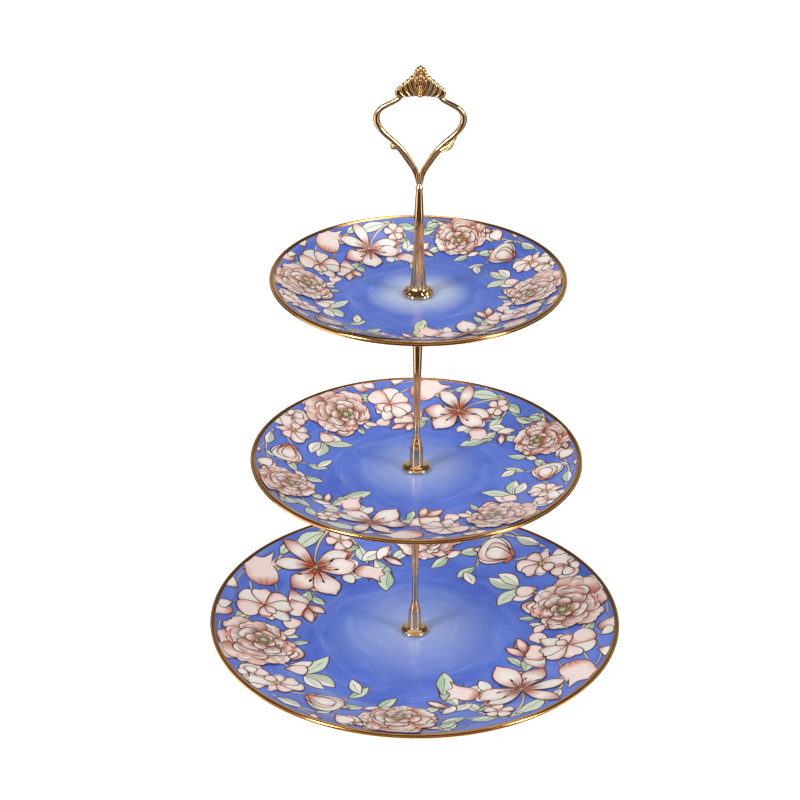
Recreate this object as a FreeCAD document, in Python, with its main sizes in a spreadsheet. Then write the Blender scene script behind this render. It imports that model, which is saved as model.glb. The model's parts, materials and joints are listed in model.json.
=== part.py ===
"""Three-tier cake stand: three rimmed plates on two turned columns, with a loop handle on top.

Sizes are in millimetres. Z is up, the loop handle lies in the XZ plane, and the origin is the centre of the
circle on which the bottom plate's foot ring rests. Everything is clamped in one stack along Z: a screw from
below, two columns, and studs that join a column to the column or handle above it.
"""
import FreeCAD, Part
import math
import os
import Sketcher
from FreeCAD import Vector

# Every driving size, by its name in the sheet. Radii and heights are measured from the piece's own origin.
SIZES = {
    # plates: outer radius, wall, height of the well's underside over the foot, slope of the rim
    "bottom_radius": 133.3, "bottom_wall": 3.6, "bottom_recess": 4.6, "bottom_slope": 15.5,
    "middle_radius": 104.5, "middle_wall": 3.4, "middle_recess": 4.2, "middle_slope": 16.5,
    "top_radius": 90.3, "top_wall": 3.2, "top_recess": 4.0, "top_slope": 24.0,
    "well_share": 0.6, "foot_share": 0.5, "foot_width": 2.6, "foot_draft": 1.0,
    "bend_share": 0.32, "lip_wall": 2.8, "lip_round": 1.43, "plate_hole": 4.5,
    # clamping parts
    "gasket_radius": 7.5, "gasket_height": 1.0, "washer_radius": 8.5, "washer_height": 1.0, "washer_hole": 2.7,
    "thread_radius": 2.45, "tapped_radius": 2.5, "tapped_depth": 11.0, "thread_grip": 10.0, "thread_lead": 0.4,
    "head_radius": 7.0, "head_height": 2.0, "head_round": 0.6, "screw_grip": 8.0,
    "slot_width": 1.2, "slot_depth": 0.9, "slot_overrun": 1.0,
    # columns, from the foot up: flange, bell, neck, swelling shaft
    "column_height": 116.0, "flange_radius": 9.0, "flange_edge": 1.1, "flange_dish": 6.0,
    "bell_radius": 4.1, "bell_base": 3.4, "shoulder_radius": 3.85, "shoulder_height": 15.0, "shoulder_round": 60.0,
    "neck_radius": 2.0, "neck_height": 22.5, "shaft_slim_height": 45.0, "shaft_flare": 420.0,
    "shaft_radius": 3.15, "shaft_height": 87.0, "column_top_radius": 3.95,
    # handle: fluted foot and stem
    "rosette_radius": 9.5, "rosette_edge": 1.0, "rosette_dish": 5.4, "rosette_lobes": 10, "rosette_notch": 1.5,
    "rosette_notch_reach": 10.1,
    "stem_base_radius": 5.0, "stem_base_height": 3.6, "stem_low_radius": 3.4, "stem_low_height": 22.0,
    "stem_mid_radius": 2.7, "stem_mid_height": 53.0, "stem_top_radius": 1.9, "stem_top_height": 69.0,
    "collar_radius": 2.3, "collar_height": 1.4, "collar_round": 0.77, "stem_apex_height": 71.8,
    # handle: loop, as the corners of its centre line and the radii that round them
    "arm_radius": 1.4, "arm_offset": 0.9, "fork_height": 84.0, "fork_bend": 30.0,
    "loop_reach": 31.6, "loop_height": 112.2, "loop_bend": 9.4,
    "arm_end_reach": 11.5, "arm_end_height": 126.4,
    # handle: palmette crest and the two leaf buds on the loop
    "crest_foot_reach": 13.2, "crest_foot_height": 126.0, "crest_arch": 1.4, "crest_side_reach": 14.2,
    "crest_side_height": 130.4, "crest_tip_reach": 1.6, "crest_tip_height": 145.5, "crest_leaves": 6,
    "crest_leaf_round": 1.9, "crest_thickness": 3.6,
    "leaf_root_reach": 10.2, "leaf_root_height": 90.6, "leaf_belly_reach": 17.5, "leaf_belly_height": 93.0,
    "leaf_belly_round": 12.0, "leaf_tip_reach": 22.1, "leaf_tip_height": 101.0, "leaf_back_reach": 14.2,
    "leaf_back_height": 95.4, "bud_thickness": 1.8,
    "curl_root_reach": 10.0, "curl_root_height": 90.6, "curl_back_reach": 13.6, "curl_top_height": 95.2,
    "curl_top_reach": 15.9, "curl_end_reach": 16.5, "curl_end_height": 93.2, "curl_round": 1.2,
}

doc = FreeCAD.newDocument("TieredCakeStand")
sheet = doc.addObject("Spreadsheet::Sheet", "Sizes")
for row, (alias, number) in enumerate(SIZES.items(), start=1):
    sheet.set(f"A{row}", alias.replace("_", " "))
    sheet.set(f"B{row}", str(number))
    sheet.setAlias(f"B{row}", alias)
doc.recompute()
nodes = []


def value(expression):
    """The number that an expression over the sheet gives."""
    return float(sheet.evalExpression(str(expression)))


# ---- sketches -------------------------------------------------------------------------------------------

def new_sketch(body, name, plane, height="0"):
    """An empty sketch on one of the body's origin planes, raised along the plane's normal."""
    sketch = body.newObject("Sketcher::SketchObject", name)
    support = next(feature for feature in body.Origin.OriginFeatures if feature.Role == plane)
    sketch.AttachmentSupport = (support, "")
    sketch.MapMode = "FlatFace"
    sketch.setExpression("AttachmentOffset.Base.z", height)
    return sketch


def pin_point(sketch, geometry, end, x, y):
    """Fixes a point at (x, y), each an expression; a zero keeps it on the axis."""
    for kind, axis, size in (("DistanceX", -2, x), ("DistanceY", -1, y)):
        if size == "0":
            sketch.addConstraint(Sketcher.Constraint("PointOnObject", geometry, end, axis))
        else:
            index = sketch.addConstraint(Sketcher.Constraint(kind, -1, 1, geometry, end, value(size)))
            sketch.setExpression(f"Constraints[{index}]", size)


def set_radius(sketch, geometry, radius):
    index = sketch.addConstraint(Sketcher.Constraint("Radius", geometry, value(radius)))
    sketch.setExpression(f"Constraints[{index}]", radius)


def add_circle(sketch, x, y, radius):
    """A circle whose centre and radius are expressions."""
    spot = Vector(value(x), value(y), 0)
    circle = sketch.addGeometry(Part.Circle(spot, Vector(0, 0, 1), value(radius)))
    pin_point(sketch, circle, 3, x, y)
    set_radius(sketch, circle, radius)


def arc_between(start, end, radius):
    """The short arc from start to end that bulges to the right of travel, counter-clockwise about its centre."""
    chord = end - start
    side = Vector(-chord.y, chord.x, 0).normalize()
    centre = (start + end) / 2 + side * math.sqrt(radius ** 2 - (chord.Length / 2) ** 2)
    angles = [math.atan2(point.y - centre.y, point.x - centre.x) for point in (start, end)]
    return Part.ArcOfCircle(Part.Circle(centre, Vector(0, 0, 1), radius), *angles)


def add_outline(sketch, points):
    """A closed outline through (x, y) points. A third entry, right or left, and a fourth, the radius, make
    the side that leaves the point an arc that bulges to that side of travel."""
    spots = [Vector(value(point[0]), value(point[1]), 0) for point in points]
    sides = []
    for index, point in enumerate(points):
        start, end = spots[index], spots[(index + 1) % len(spots)]
        if len(point) == 2:
            sides.append((sketch.addGeometry(Part.LineSegment(start, end)), 1, 2))
        elif point[2] == "right":
            sides.append((sketch.addGeometry(arc_between(start, end, value(point[3]))), 1, 2))
        else:
            sides.append((sketch.addGeometry(arc_between(end, start, value(point[3]))), 2, 1))
    for index, (side, first, last) in enumerate(sides):
        following, following_first, _ = sides[(index + 1) % len(sides)]
        sketch.addConstraint(Sketcher.Constraint("Coincident", side, last, following, following_first))
    for (side, first, _), point in zip(sides, points):
        pin_point(sketch, side, first, point[0], point[1])
        if len(point) > 2:
            set_radius(sketch, side, point[3])


def add_bent_path(sketch, start, corners, end):
    """An open path of straight runs from start to end, its (x, y, radius) corners rounded by tangent arcs."""
    joints = [Vector(value(point[0]), value(point[1]), 0) for point in (start, *corners, end)]
    leaving, arcs = joints[0], []
    runs = []
    for before, corner, after, (_, _, bend) in zip(joints, joints[1:], joints[2:], corners):
        inward = (corner - before).normalize()
        outward = (after - corner).normalize()
        setback = value(bend) * math.tan(inward.getAngle(outward) / 2)
        arc_start = corner - inward * setback
        arc_end = corner + outward * setback
        runs.append(sketch.addGeometry(Part.LineSegment(leaving, arc_start)))
        left_turn = inward.cross(outward).z > 0
        ends = (arc_start, arc_end) if left_turn else (arc_end, arc_start)
        arcs.append((sketch.addGeometry(arc_between(*ends, value(bend))), left_turn))
        leaving = arc_end
    runs.append(sketch.addGeometry(Part.LineSegment(leaving, joints[-1])))
    pin_point(sketch, runs[0], 1, *start)
    pin_point(sketch, runs[-1], 2, *end)
    for (arc, left_turn), run, following, corner in zip(arcs, runs, runs[1:], corners):
        first, last = (1, 2) if left_turn else (2, 1)
        sketch.addConstraint(Sketcher.Constraint("Tangent", run, 2, arc, first))
        sketch.addConstraint(Sketcher.Constraint("Tangent", arc, last, following, 1))
        set_radius(sketch, arc, corner[2])
        mark = sketch.addGeometry(Part.Point(Vector(value(corner[0]), value(corner[1]), 0)), True)
        pin_point(sketch, mark, 1, corner[0], corner[1])
        sketch.addConstraint(Sketcher.Constraint("PointOnObject", mark, 1, run))
        sketch.addConstraint(Sketcher.Constraint("PointOnObject", mark, 1, following))


# ---- features -------------------------------------------------------------------------------------------

def new_body(label, height):
    """The body of one node, standing at a height that is an expression."""
    body = doc.addObject("PartDesign::Body", label)
    body.Label = label
    body.setExpression("Placement.Base.z", height)
    nodes.append(body)
    return body


def revolve(body, name, points):
    """Turns an outline in the XZ plane about Z."""
    sketch = new_sketch(body, f"{name}_section", "XZ_Plane")
    add_outline(sketch, points)
    feature = body.newObject("PartDesign::Revolution", name)
    feature.Profile = sketch
    feature.ReferenceAxis = (sketch, ["V_Axis"])
    feature.Angle = 360
    return feature


def pad(body, name, sketch, length, symmetric=False):
    feature = body.newObject("PartDesign::Pad", name)
    feature.Profile = sketch
    feature.setExpression("Length", length)
    if symmetric:
        feature.SideType = "Symmetric"
    return feature


def pocket(body, name, sketch, length, upward=False):
    """Cuts a sketch down into the body, or up when the sketch lies under it, and checks that it cut."""
    doc.recompute()
    before = body.Shape.Volume
    feature = body.newObject("PartDesign::Pocket", name)
    feature.Profile = sketch
    feature.setExpression("Length", length)
    feature.Reversed = upward
    doc.recompute()
    if body.Shape.Volume > before - 0.1:
        raise RuntimeError(f"{name} of {body.Label} cut nothing")
    return feature


def drill(body, name, radius, depth, height="0", upward=False):
    """A round hole on the Z axis, down from a height or up from the body's foot."""
    sketch = new_sketch(body, f"{name}_circle", "XY_Plane", height)
    add_circle(sketch, "0", "0", radius)
    pocket(body, name, sketch, depth, upward)


# ---- pieces ---------------------------------------------------------------------------------------------

def make_plate(tier, height):
    """A coupe-rimmed plate with a foot ring and a hole in the middle, from its foot up."""
    body = new_body(f"{tier}_plate", height)
    radius, wall = f"Sizes.{tier}_radius", f"Sizes.{tier}_wall"
    under, slope = f"Sizes.{tier}_recess", f"(Sizes.{tier}_slope * 1deg)"
    well, foot = f"{radius} * Sizes.well_share", f"{radius} * Sizes.foot_share"
    bend = f"{radius} * Sizes.bend_share"
    face = f"{under} + {wall}"
    lip = f"{radius} - Sizes.lip_wall / 2"
    bend_out = f"{well} + {bend} * sin{slope}"
    bend_up = f"{bend} * (1 - cos{slope})"
    rim_up = f"{bend_up} + ({lip} - ({bend_out})) * tan{slope}"
    half_foot = "Sizes.foot_width / 2"
    revolve(body, f"{tier}_plate_ware", [
        ("Sizes.plate_hole", under),
        (f"{foot} - {half_foot} - Sizes.foot_draft", under),
        (f"{foot} - {half_foot}", "0"),
        (f"{foot} + {half_foot}", "0"),
        (f"{foot} + {half_foot} + Sizes.foot_draft", under),
        (well, under, "right", f"{bend} + {wall}"),
        (bend_out, f"{under} + {bend_up} + {wall} - Sizes.lip_wall"),
        (lip, f"{face} + {rim_up} - Sizes.lip_wall", "right", "Sizes.lip_round"),
        (lip, f"{face} + {rim_up}"),
        (bend_out, f"{face} + {bend_up}", "left", bend),
        (well, face),
        ("Sizes.plate_hole", face),
    ])


def make_ring(label, height, outer, thickness):
    """A flat washer or gasket."""
    body = new_body(label, height)
    sketch = new_sketch(body, f"{label}_rings", "XY_Plane")
    add_circle(sketch, "0", "0", outer)
    add_circle(sketch, "0", "0", "Sizes.washer_hole")
    pad(body, f"{label}_disc", sketch, thickness)


def make_column(label, height):
    """A turned column: dished flange, bell, neck, then a shaft that swells towards its top."""
    body = new_body(label, height)
    revolve(body, f"{label}_turning", [
        ("0", "0"),
        ("Sizes.flange_radius", "0"),
        ("Sizes.flange_radius", "Sizes.flange_edge", "left", "Sizes.flange_dish"),
        ("Sizes.bell_radius", "Sizes.bell_base"),
        ("Sizes.shoulder_radius", "Sizes.shoulder_height", "right", "Sizes.shoulder_round"),
        ("Sizes.neck_radius", "Sizes.neck_height"),
        ("Sizes.neck_radius", "Sizes.shaft_slim_height", "left", "Sizes.shaft_flare"),
        ("Sizes.shaft_radius", "Sizes.shaft_height"),
        ("Sizes.column_top_radius", "Sizes.column_height"),
        ("0", "Sizes.column_height"),
    ])
    drill(body, f"{label}_foot_hole", "Sizes.tapped_radius", "Sizes.tapped_depth", upward=True)
    drill(body, f"{label}_top_hole", "Sizes.tapped_radius", "Sizes.tapped_depth", "Sizes.column_height")


def make_stud(label, height, stack):
    """A headless stud: one grip in the column below, the clamped stack, one grip in the piece above."""
    body = new_body(label, height)
    length = f"2 * Sizes.thread_grip + {stack}"
    core = "Sizes.thread_radius - Sizes.thread_lead"
    revolve(body, f"{label}_turning", [
        ("0", "0"),
        (core, "0"),
        ("Sizes.thread_radius", "Sizes.thread_lead"),
        ("Sizes.thread_radius", f"{length} - Sizes.thread_lead"),
        (core, length),
        ("0", length),
    ])


def make_base_screw(label, height, reach):
    """The slotted screw under the bottom plate, its head down."""
    body = new_body(label, height)
    core = "Sizes.thread_radius - Sizes.thread_lead"
    revolve(body, f"{label}_turning", [
        ("0", "0"),
        ("Sizes.head_radius - Sizes.head_round", "0", "right", "1.1 * Sizes.head_round"),
        ("Sizes.head_radius", "Sizes.head_round"),
        ("Sizes.head_radius", "Sizes.head_height"),
        ("Sizes.thread_radius", "Sizes.head_height"),
        ("Sizes.thread_radius", f"{reach} - Sizes.thread_lead"),
        (core, reach),
        ("0", reach),
    ])
    slot = new_sketch(body, f"{label}_slot_outline", "XY_Plane")
    far, half = "Sizes.head_radius + Sizes.slot_overrun", "Sizes.slot_width / 2"
    add_outline(slot, [
        (f"-({far})", f"-{half}"),
        (far, f"-{half}"),
        (far, half),
        (f"-({far})", half),
    ])
    pocket(body, f"{label}_slot", slot, "Sizes.slot_depth", upward=True)


def cut_rosette(body):
    """Notches all round the handle's foot, between its lobes."""
    sketch = new_sketch(body, "rosette_notch_circle", "XY_Plane", "Sizes.stem_base_height")
    add_circle(sketch, "Sizes.rosette_notch_reach", "0", "Sizes.rosette_notch")
    notch = pocket(body, "rosette_notch", sketch, "Sizes.stem_base_height")
    pattern = body.newObject("PartDesign::PolarPattern", "rosette_notches")
    pattern.Originals = [notch]
    pattern.Axis = (sketch, ["N_Axis"])
    pattern.Angle = 360
    pattern.setExpression("Occurrences", "Sizes.rosette_lobes")
    body.Tip = pattern


def add_arms(body):
    """The two wires of the loop: one piped along its rounded centre line, the other its mirror image."""
    route = new_sketch(body, "arm_route", "XZ_Plane")
    add_bent_path(route, ("Sizes.arm_offset", "Sizes.stem_top_height"), [
        ("Sizes.arm_offset", "Sizes.fork_height", "Sizes.fork_bend"),
        ("Sizes.loop_reach", "Sizes.loop_height", "Sizes.loop_bend"),
    ], ("Sizes.arm_end_reach", "Sizes.arm_end_height"))
    section = new_sketch(body, "arm_section", "XY_Plane", "Sizes.stem_top_height")
    add_circle(section, "Sizes.arm_offset", "0", "Sizes.arm_radius")
    arm = body.newObject("PartDesign::AdditivePipe", "right_arm")
    arm.Profile = section
    arm.Spine = route
    mirror = body.newObject("PartDesign::Mirrored", "left_arm")
    mirror.Originals = [arm]
    mirror.MirrorPlane = (next(f for f in body.Origin.OriginFeatures if f.Role == "YZ_Plane"), [""])
    body.Tip = mirror


def crest_side(side):
    """The scalloped slope of the crest on one side, +1 or -1, from its foot up to its tip."""
    count = int(value("Sizes.crest_leaves"))
    points = []
    for leaf in range(count):
        share = f"{leaf} / {count}"
        reach = f"Sizes.crest_side_reach + (Sizes.crest_tip_reach - Sizes.crest_side_reach) * {share}"
        up = f"Sizes.crest_side_height + (Sizes.crest_tip_height - Sizes.crest_side_height) * {share}"
        points.append((f"{side} * ({reach})", up))
    return points


def add_crest(body):
    """The palmette: an arched foot, scalloped sides and a rounded tip."""
    reach, foot, bend = "Sizes.crest_foot_reach", "Sizes.crest_foot_height", "Sizes.crest_leaf_round"
    arch = f"{reach}^2 / (2 * Sizes.crest_arch)"
    tip = ("Sizes.crest_tip_reach", "Sizes.crest_tip_height")
    right = [(*point, "right", bend) for point in crest_side(1)]
    left = [(*point, "right", bend) for point in reversed(crest_side(-1))]
    sketch = new_sketch(body, "crest_outline", "XZ_Plane")
    add_outline(sketch, [
        ("0", f"{foot} + Sizes.crest_arch", "left", arch),
        (reach, foot),
        *right,
        (*tip, "right", bend),
        (f"-{tip[0]}", tip[1], "right", bend),
        *left[:-1],
        crest_side(-1)[0],
        (f"-{reach}", foot, "left", arch),
    ])
    pad(body, "crest", sketch, "Sizes.crest_thickness", symmetric=True)


def add_buds(body):
    """A pointed leaf on the right arm and a small curl on the left one, each rooted inside its arm."""
    leaf = new_sketch(body, "leaf_outline", "XZ_Plane")
    belly = ("right", "Sizes.leaf_belly_round")
    add_outline(leaf, [
        ("Sizes.leaf_root_reach", "Sizes.leaf_root_height", *belly),
        ("Sizes.leaf_belly_reach", "Sizes.leaf_belly_height", *belly),
        ("Sizes.leaf_tip_reach", "Sizes.leaf_tip_height"),
        ("Sizes.leaf_back_reach", "Sizes.leaf_back_height"),
    ])
    pad(body, "leaf", leaf, "Sizes.bud_thickness", symmetric=True)
    curl = new_sketch(body, "curl_outline", "XZ_Plane")
    add_outline(curl, [
        ("-Sizes.curl_root_reach", "Sizes.curl_root_height"),
        ("-Sizes.curl_back_reach", "Sizes.curl_top_height"),
        ("-Sizes.curl_top_reach", "Sizes.curl_top_height", "right", "Sizes.curl_round"),
        ("-Sizes.curl_end_reach", "Sizes.curl_end_height"),
    ])
    pad(body, "curl", curl, "Sizes.bud_thickness", symmetric=True)


def make_handle(label, height):
    """The cast handle: scalloped foot, tapering stem, open loop, crest and buds."""
    body = new_body(label, height)
    revolve(body, "stem", [
        ("0", "0"),
        ("Sizes.rosette_radius", "0"),
        ("Sizes.rosette_radius", "Sizes.rosette_edge", "left", "Sizes.rosette_dish"),
        ("Sizes.stem_base_radius", "Sizes.stem_base_height"),
        ("Sizes.stem_low_radius", "Sizes.stem_low_height"),
        ("Sizes.stem_mid_radius", "Sizes.stem_mid_height"),
        ("Sizes.stem_top_radius", "Sizes.stem_top_height"),
        ("Sizes.collar_radius", "Sizes.stem_top_height", "right", "Sizes.collar_round"),
        ("Sizes.collar_radius", "Sizes.stem_top_height + Sizes.collar_height"),
        ("0", "Sizes.stem_apex_height"),
    ])
    cut_rosette(body)
    drill(body, "handle_hole", "Sizes.tapped_radius", "Sizes.tapped_depth", upward=True)
    add_arms(body)
    add_crest(body)
    add_buds(body)


# ---- the stack, from the table up -----------------------------------------------------------------------

gasket, washer = "Sizes.gasket_height", "Sizes.washer_height"
bottom_under = "Sizes.bottom_recess"
screw_head = f"{bottom_under} - {gasket} - {washer} - Sizes.head_height"
make_base_screw("base_screw", screw_head,
                f"Sizes.head_height + {washer} + 2 * {gasket} + Sizes.bottom_wall + Sizes.screw_grip")
make_ring("base_washer", f"{bottom_under} - {gasket} - {washer}", "Sizes.washer_radius", washer)

under = bottom_under
for tier, support in (("bottom", None), ("middle", "lower"), ("top", "upper")):
    if support:
        make_ring(f"{tier}_plate_support_washer", f"{under} - {gasket} - {washer}", "Sizes.washer_radius", washer)
        stack = f"{washer} + 2 * {gasket} + Sizes.{tier}_wall"
        make_stud(f"{support}_stud", f"{under} - {gasket} - {washer} - Sizes.thread_grip", stack)
    make_ring(f"{tier}_plate_lower_gasket", f"{under} - {gasket}", "Sizes.gasket_radius", gasket)
    make_plate(tier, f"{under} - Sizes.{tier}_recess")
    make_ring(f"{tier}_plate_upper_gasket", f"{under} + Sizes.{tier}_wall", "Sizes.gasket_radius", gasket)
    clamped = f"{under} + Sizes.{tier}_wall + {gasket}"
    if tier == "top":
        make_handle("crown_handle", clamped)
    else:
        make_column("lower_rod" if tier == "bottom" else "upper_rod", clamped)
        under = f"{clamped} + Sizes.column_height + {washer} + {gasket}"

doc.recompute()
for item in doc.Objects:
    if {"Invalid", "Error"} & set(item.State):
        raise RuntimeError(f"{item.Label} failed: {item.State}")
os.makedirs("parts", exist_ok=True)
for body in nodes:
    if body.Shape.isNull() or not body.Shape.isValid() or len(body.Shape.Solids) != 1:
        raise RuntimeError(f"{body.Label} is not one valid solid")
    body.Shape.exportStep(f"parts/{body.Label}.step")
    box = body.Shape.optimalBoundingBox()
    print(f"{body.Label:30s} {body.Shape.Volume:10.1f} mm3  z {box.ZMin:7.2f} to {box.ZMax:7.2f}  x {box.XMax:7.2f}")
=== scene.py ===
"""Three-tier cake stand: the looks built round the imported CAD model.

Shapes are worked out in millimetres and put into meshes in metres. Plan positions on a plate are complex
numbers, x + iy, about the stand's axis.
"""
import cmath
import json
import math
import random

import bpy
from mathutils import Matrix, Vector


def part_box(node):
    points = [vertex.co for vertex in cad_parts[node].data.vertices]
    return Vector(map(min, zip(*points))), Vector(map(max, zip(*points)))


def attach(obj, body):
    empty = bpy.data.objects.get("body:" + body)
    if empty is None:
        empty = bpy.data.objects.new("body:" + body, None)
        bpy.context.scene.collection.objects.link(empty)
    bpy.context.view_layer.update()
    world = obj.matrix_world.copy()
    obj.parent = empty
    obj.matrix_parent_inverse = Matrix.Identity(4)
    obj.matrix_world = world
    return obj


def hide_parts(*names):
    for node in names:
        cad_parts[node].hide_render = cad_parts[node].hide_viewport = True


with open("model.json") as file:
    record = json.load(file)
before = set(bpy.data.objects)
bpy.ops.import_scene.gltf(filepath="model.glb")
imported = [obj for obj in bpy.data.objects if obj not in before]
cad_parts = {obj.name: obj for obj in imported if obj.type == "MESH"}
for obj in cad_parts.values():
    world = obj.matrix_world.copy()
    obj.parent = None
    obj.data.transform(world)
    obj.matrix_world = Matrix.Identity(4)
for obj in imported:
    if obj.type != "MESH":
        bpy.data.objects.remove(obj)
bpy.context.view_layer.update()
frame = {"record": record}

MM = 0.001
TAU = 2 * math.pi
TIERS = ("bottom", "middle", "top")
dice = random.Random(20)

# Plates, as shares of a plate's radius or in millimetres
WELL_SHARE, BEND_SHARE, FOOT_SHARE = 0.6, 0.32, 0.5
LIP_ROUND, HOLE_RADIUS = 1.4, 4.5
BAND_TOP, BAND_UNDER, BAND_PROUD, BAND_SUNK = 3.4, 1.6, 0.05, 0.1

# How far the lowest paint stands off the glaze, and each level off the one under it, in millimetres
FIRST_LIFT, LIFT_STEP = 0.06, 0.02

# Metalwork, in millimetres. A lathe outline that reaches the middle stops at AXIS.
AXIS, BORE, SHANK, SHANK_END = 0.05, 2.5, 2.45, 1.9
PITCH, THREAD_DEPTH, THREAD_MARGIN = 0.8, 0.42, 0.4
RING_HOLE, WASHER_RADIUS, GASKET_RADIUS = 2.7, 8.5, 7.5


def srgb(red, green, blue):
    """A linear colour from 8-bit sRGB numbers."""
    def linear(number):
        share = number / 255
        return share / 12.92 if share <= 0.04045 else ((share + 0.055) / 1.055) ** 2.4
    return (linear(red), linear(green), linear(blue))


CREAM, PEARL, SHELL = srgb(249, 240, 232), srgb(238, 237, 228), srgb(248, 229, 221)
BLUSH, SALMON = srgb(230, 164, 150), srgb(210, 120, 90)
BRICK, RUST, UMBER = srgb(190, 86, 48), srgb(152, 66, 32), srgb(74, 56, 34)
MINT, SAGE, HEART = srgb(214, 228, 206), srgb(160, 194, 164), srgb(186, 204, 148)
STRAW, BARK, GRAIN = srgb(228, 222, 182), srgb(186, 172, 122), srgb(214, 184, 108)


def mix(first, second, share):
    """A colour part of the way from one to another."""
    share = min(max(share, 0.0), 1.0)
    return tuple(a + (b - a) * share for a, b in zip(first, second))


# ---- meshes ----

def make_piece(name, points, faces, material, paint=None):
    """An object from points in millimetres, smooth shaded, with a colour at each point if paint is given."""
    mesh = bpy.data.meshes.new(name)
    mesh.from_pydata([(x * MM, y * MM, z * MM) for x, y, z in points], [], faces)
    mesh.polygons.foreach_set("use_smooth", [True] * len(mesh.polygons))
    if paint:
        layer = mesh.color_attributes.new("paint", "FLOAT_COLOR", "POINT")
        layer.data.foreach_set("color", [number for hue in paint for number in (*hue, 1.0)])
    mesh.materials.append(material)
    mesh.update()
    piece = bpy.data.objects.new(name, mesh)
    bpy.context.scene.collection.objects.link(piece)
    return piece


def skin(rings, count, closed=False, inside_out=False):
    """Quads between rings of count points each, laid one after another. A closed skin joins the last ring to
    the first."""
    faces = []
    for ring in range(rings if closed else rings - 1):
        here, there = ring * count, (ring + 1) % rings * count
        for index in range(count):
            following = (index + 1) % count
            if inside_out:
                faces.append((here + index, here + following, there + following, there + index))
            else:
                faces.append((here + index, there + index, there + following, here + following))
    return faces


def lathe(outline, segments, shape=None):
    """Points and faces of a closed (radius, height) outline turned about Z. shape(radius, height, turn) may
    change the radius round the turn."""
    points = []
    for step in range(segments):
        turn = TAU * step / segments
        for radius, height in outline:
            reach = shape(radius, height, turn) if shape else radius
            points.append((reach * math.cos(turn), reach * math.sin(turn), height))
    return points, skin(segments, len(outline), closed=True)


def join(parts):
    """One list of points and one of faces from several."""
    points, faces = [], []
    for part_points, part_faces in parts:
        start = len(points)
        points += part_points
        faces += [tuple(start + index for index in face) for face in part_faces]
    return points, faces


def curve_through(knots, per_span):
    """A Catmull-Rom curve through knots, which are tuples of any length."""
    ends = [knots[0], *knots, knots[-1]]
    out = []
    for before, start, end, after in zip(ends, ends[1:], ends[2:], ends[3:]):
        for step in range(per_span):
            t = step / per_span
            out.append(tuple(
                0.5 * (2 * b + (c - a) * t + (2 * a - 5 * b + 4 * c - d) * t ** 2
                       + (3 * b - a - 3 * c + d) * t ** 3)
                for a, b, c, d in zip(before, start, end, after)))
    return out + [tuple(knots[-1])]


def arc_points(centre_r, centre_z, radius, start, end, count):
    """Points on a circle in the section plane, between two angles in degrees."""
    angles = [math.radians(start + (end - start) * step / (count - 1)) for step in range(count)]
    return [(centre_r + radius * math.cos(angle), centre_z + radius * math.sin(angle)) for angle in angles]


def span(node):
    """Lowest and highest corners of a CAD node, in millimetres."""
    low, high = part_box(node)
    return low / MM, high / MM


def height_of(node):
    low, high = span(node)
    return high.z - low.z


# ---- materials ----

class Shader:
    """A Principled material and short ways to add nodes to it."""

    def __init__(self, name, **sockets):
        self.material = bpy.data.materials.new(name)
        self.material.use_nodes = True
        self.nodes = self.material.node_tree.nodes
        self.links = self.material.node_tree.links
        self.main = self.nodes["Principled BSDF"]
        for socket, number in sockets.items():
            self.main.inputs[socket.replace("_", " ")].default_value = number

    def feed(self, socket, source):
        """Gives a socket a number, a colour or another node's output."""
        if isinstance(source, bpy.types.NodeSocket):
            self.links.new(source, socket)
        else:
            socket.default_value = source

    def add(self, kind, inputs=None, **settings):
        """A node, with what its inputs are fed."""
        node = self.nodes.new(f"ShaderNode{kind}")
        for setting, choice in settings.items():
            setattr(node, setting, choice)
        for key, source in (inputs or {}).items():
            self.feed(node.inputs[key], source)
        return node

    def place(self):
        """The object's own coordinates, in metres."""
        return self.add("TexCoord").outputs["Object"]

    def noise(self, place, scale, detail=3.0, rough=0.5, distortion=0.0):
        inputs = {"Vector": place, "Scale": scale, "Detail": detail, "Roughness": rough,
                  "Distortion": distortion}
        return self.add("TexNoise", inputs).outputs["Fac"]

    def scale_range(self, source, low, high, new_low=0.0, new_high=1.0):
        """A number from one range moved to another."""
        inputs = {"Value": source, "From Min": low, "From Max": high,
                  "To Min": new_low, "To Max": new_high}
        return self.add("MapRange", inputs).outputs["Result"]

    def blend(self, share, first, second, mode="MIX"):
        """Two colours mixed by a share; each may be a colour or an output."""
        def full(hue):
            return (*hue, 1.0) if isinstance(hue, tuple) else hue
        inputs = {0: share, 6: full(first), 7: full(second)}
        return self.add("Mix", inputs, data_type="RGBA", blend_type=mode).outputs[2]

    def maths(self, operation, first, second):
        return self.add("Math", {0: first, 1: second}, operation=operation).outputs[0]

    def drive(self, **sources):
        for socket, source in sources.items():
            self.links.new(source, self.main.inputs[socket.replace("_", " ")])

    def bump(self, height, strength, distance):
        inputs = {"Height": height, "Strength": strength, "Distance": distance}
        self.links.new(self.add("Bump", inputs).outputs["Normal"], self.main.inputs["Normal"])


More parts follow.
